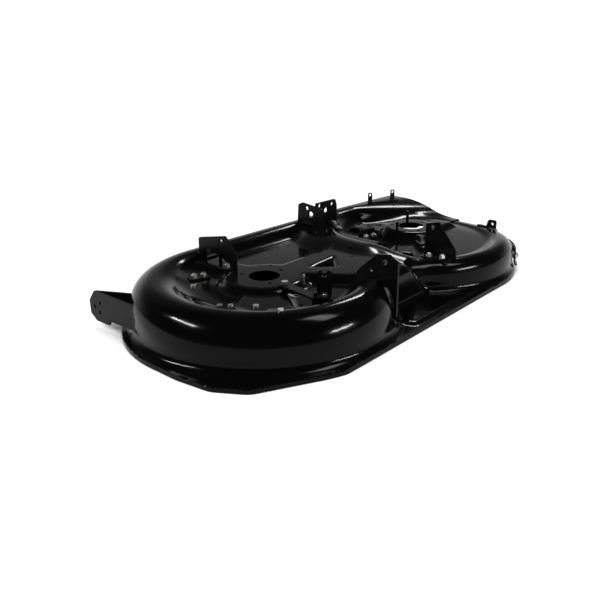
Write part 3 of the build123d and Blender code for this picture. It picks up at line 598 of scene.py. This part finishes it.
# Pieces let down on to the scene's lower surfaces: the seats of the right lobe's bolts, and the left screws' falls.

RIGHT_SEATS = ((382, -172), (386, -204), (398, 138), (425, 138), (442, 58), (465, 51))
SCREW_FALLS = {(-154, -27): STAR_Z - FLOOR_Z, (-147, -52): 12.0, (-120, -94): FLOOR_Z - SKIRT_Z}
SEAT_REACH = 13
PLATE_FOOT_Z, HANGER_KEEP_Z, LINK_KEEP_Z = 118, 145.0, 140.0


def ring_drop(x, y):
    """How far the scene's right ring lies under the solid's at a plan place."""
    r = np.hypot(x - PITCH, y + SETBACK)
    floor_r, crest_z = right_ring(x, y)
    solid_z = s_curve(r, FLOOR_R, FLOOR_Z, CREST_IN, CREST_Z)[0]
    return solid_z - s_curve(r, floor_r, BOWL_Z, CREST_IN, crest_z)[0]


def settled(name, drop):
    """Copy of a node whose points are let down on to the scene's surface."""
    mesh = nodes[name].data.copy()
    obj = bpy.data.objects.new(name + "_settled", mesh)
    scene.collection.objects.link(obj)
    flat = np.empty(3 * len(mesh.vertices), np.float32)
    mesh.vertices.foreach_get("co", flat)
    matrix = np.array(nodes[name].matrix_world)
    points = (flat.reshape(-1, 3) @ matrix[:3, :3].T + matrix[:3, 3]) * 1000
    points[:, :2] -= LEFT
    points[:, 2] -= drop(points[:, 0], points[:, 1], points[:, 2])
    mesh.vertices.foreach_set("co", part_place(points).astype(np.float32).ravel())
    mesh.update()
    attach(obj, "root")
    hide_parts(name)


def foot_drop(keep_z):
    """Lets a bracket's foot down by the ring's drop and leaves its plate above a height where it is."""
    return lambda x, y, z: ring_drop(x, y) * np.clip((keep_z - z) / (keep_z - PLATE_FOOT_Z), 0, 1)


def bowl_drop(x, y, z):
    """Lets a piece down from the solid's floor to the bowl's."""
    return FLOOR_Z - BOWL_Z


def bolt_drop(x, y, z):
    """Lets each bolt of the right lobe down by the drop at its seat."""
    drop = np.zeros(len(x))
    for seat in RIGHT_SEATS:
        near = np.hypot(x - seat[0], y - seat[1]) < SEAT_REACH
        drop[near] = ring_drop(np.array(seat[0]), np.array(seat[1]))
    return drop


def screw_drop(x, y, z):
    """Lets the two screws by the left hub's skirt down to the floor, and lifts one on to the skirt."""
    drop = np.zeros(len(x))
    for seat, fall in SCREW_FALLS.items():
        drop[np.hypot(x - seat[0], y - seat[1]) < SEAT_REACH] = fall
    return drop


settled("rear_right_hanger", foot_drop(HANGER_KEEP_Z))
settled("front_link_plate", foot_drop(LINK_KEEP_Z))
settled("right_floor_bracket", bowl_drop)
settled("bracket_bolts", bolt_drop)
settled("bracket_nuts", bolt_drop)
settled("floor_screws", screw_drop)


# The studio: sky, floor, soft boxes and camera.

def seen_directly(tree):
    """Socket that is 1 for rays from the camera, from a mirror surface and through glass."""
    path = tree.nodes.new("ShaderNodeLightPath")
    total = path.outputs["Is Camera Ray"]
    for other in ("Is Glossy Ray", "Is Transmission Ray"):
        either = tree.nodes.new("ShaderNodeMath")
        either.operation = "MAXIMUM"
        tree.links.new(total, either.inputs[0])
        tree.links.new(path.outputs[other], either.inputs[1])
        total = either.outputs[0]
    return total


def fade(tree, source, start, end, low, high):
    """Socket that runs smoothly from one value to another as a source value rises."""
    ramp = tree.nodes.new("ShaderNodeMapRange")
    ramp.interpolation_type = "SMOOTHSTEP"
    ramp.inputs["From Min"].default_value = start
    ramp.inputs["From Max"].default_value = end
    ramp.inputs["To Min"].default_value = low
    ramp.inputs["To Max"].default_value = high
    tree.links.new(source, ramp.inputs["Value"])
    return ramp.outputs["Result"]


def pick(tree, plain, direct, output):
    """Shows one shader to rays that see a surface directly, and another to all other rays."""
    choice = tree.nodes.new("ShaderNodeMixShader")
    tree.links.new(seen_directly(tree), choice.inputs["Fac"])
    tree.links.new(plain, choice.inputs[1])
    tree.links.new(direct, choice.inputs[2])
    tree.links.new(choice.outputs["Shader"], tree.nodes[output].inputs["Surface"])


def studio_sky():
    """Dim light all round, with a backdrop that is white to the camera.

    Reflections see the backdrop fade upward and toward the camera's side.
    """
    world = bpy.data.worlds.new("studio")
    scene.world = world
    world.use_nodes = True
    tree = world.node_tree
    dim = tree.nodes["Background"]
    dim.inputs["Color"].default_value = WHITE
    dim.inputs["Strength"].default_value = 0.1
    pale = tree.nodes.new("ShaderNodeBackground")
    pale.inputs["Color"].default_value = WHITE
    where = tree.nodes.new("ShaderNodeTexCoord")
    split = tree.nodes.new("ShaderNodeSeparateXYZ")
    tree.links.new(where.outputs["Generated"], split.inputs["Vector"])
    beyond = tree.nodes.new("ShaderNodeVectorMath")
    beyond.operation = "DOT_PRODUCT"
    beyond.inputs[1].default_value = (math.cos(YAW), math.sin(YAW), 0)
    tree.links.new(where.outputs["Generated"], beyond.inputs[0])
    backdrop = tree.nodes.new("ShaderNodeMath")
    backdrop.operation = "MULTIPLY"
    tree.links.new(fade(tree, split.outputs["Z"], 0.1, 0.42, 1.0, 0.12), backdrop.inputs[0])
    tree.links.new(fade(tree, beyond.outputs["Value"], 0.2, 0.75, 0.06, 1.0), backdrop.inputs[1])
    shown = tree.nodes.new("ShaderNodeMath")
    shown.operation = "MAXIMUM"
    tree.links.new(backdrop.outputs["Value"], shown.inputs[0])
    tree.links.new(tree.nodes.new("ShaderNodeLightPath").outputs["Is Camera Ray"], shown.inputs[1])
    tree.links.new(shown.outputs["Value"], pale.inputs["Strength"])
    pick(tree, dim.outputs["Background"], pale.outputs["Background"], "World Output")


def floor_white():
    """Matt floor that looks white where it lies open, and stays dark under the deck: its white glow fades with
    ambient occlusion, a painted shadow under and round the deck.
    """
    mat = bpy.data.materials.new("floor_white")
    mat.use_nodes = True
    tree = mat.node_tree
    matt = tree.nodes["Principled BSDF"]
    matt.inputs["Base Color"].default_value = (0.24, 0.24, 0.24, 1)
    matt.inputs["Roughness"].default_value = 0.9
    matt.inputs["Specular IOR Level"].default_value = 0.0
    open_sky = tree.nodes.new("ShaderNodeAmbientOcclusion")
    open_sky.inputs["Distance"].default_value = 0.35
    glow = tree.nodes.new("ShaderNodeEmission")
    glow.inputs["Color"].default_value = WHITE
    # Painted shadow: the glow's strength follows ambient occlusion, so the floor darkens under and beside the deck.
    tree.links.new(fade(tree, open_sky.outputs["AO"], 0.3, 0.8, 0.0, 1.0), glow.inputs["Strength"])
    lit = tree.nodes.new("ShaderNodeAddShader")
    tree.links.new(matt.outputs["BSDF"], lit.inputs[0])
    tree.links.new(glow.outputs["Emission"], lit.inputs[1])
    pick(tree, matt.outputs["BSDF"], lit.outputs["Shader"], "Material Output")
    return mat


def pale_floor():
    """Wide floor just under the rim."""
    half = FLOOR_HALF_M
    floor = mesh_object("floor", [(-half, -half, 0), (half, -half, 0), (half, half, 0), (-half, half, 0)],
                        [(0, 1, 2, 3)])
    floor.location.z = -FLOOR_DROP_M
    dress(floor, floor_white())


def soft_box(name, azimuth, elevation, width, height, power):
    """Rectangular lamp in a direction from the deck's middle, aimed at it."""
    data = bpy.data.lights.new(name, "AREA")
    data.shape = "RECTANGLE"
    data.size = width
    data.size_y = height
    data.energy = power
    obj = bpy.data.objects.new(name, data)
    a, e = math.radians(azimuth), math.radians(elevation)
    obj.location = Vector((math.cos(a) * math.cos(e), math.sin(a) * math.cos(e), math.sin(e))) * BOX_DISTANCE
    obj.rotation_euler = (Vector(BOX_AIM) - obj.location).to_track_quat("-Z", "Y").to_euler()
    scene.collection.objects.link(obj)


def photo_camera():
    """Camera at the photo's place, turned and rolled as the photo is."""
    look = Vector((math.cos(YAW) * math.cos(PITCH_DOWN), math.sin(YAW) * math.cos(PITCH_DOWN),
                   -math.sin(PITCH_DOWN)))
    level = Vector((math.sin(YAW), -math.cos(YAW), 0))
    upward = level.cross(look)
    right_way = math.cos(ROLL) * level + math.sin(ROLL) * upward
    up_way = -math.sin(ROLL) * level + math.cos(ROLL) * upward
    data = bpy.data.cameras.new("camera")
    data.sensor_width = SENSOR_MM
    data.sensor_fit = "HORIZONTAL"
    data.lens = SENSOR_MM * FOCAL_PX / PHOTO_PX
    data.clip_end = 200
    camera = bpy.data.objects.new("camera", data)
    turn = Matrix((right_way, up_way, -look)).transposed().to_4x4()
    camera.matrix_world = Matrix.Translation(Vector(part_place([EYE])[0])) @ turn
    scene.collection.objects.link(camera)
    scene.camera = camera


studio_sky()
pale_floor()
for name, box in SOFT_BOXES.items():
    soft_box(name, *box)
photo_camera()
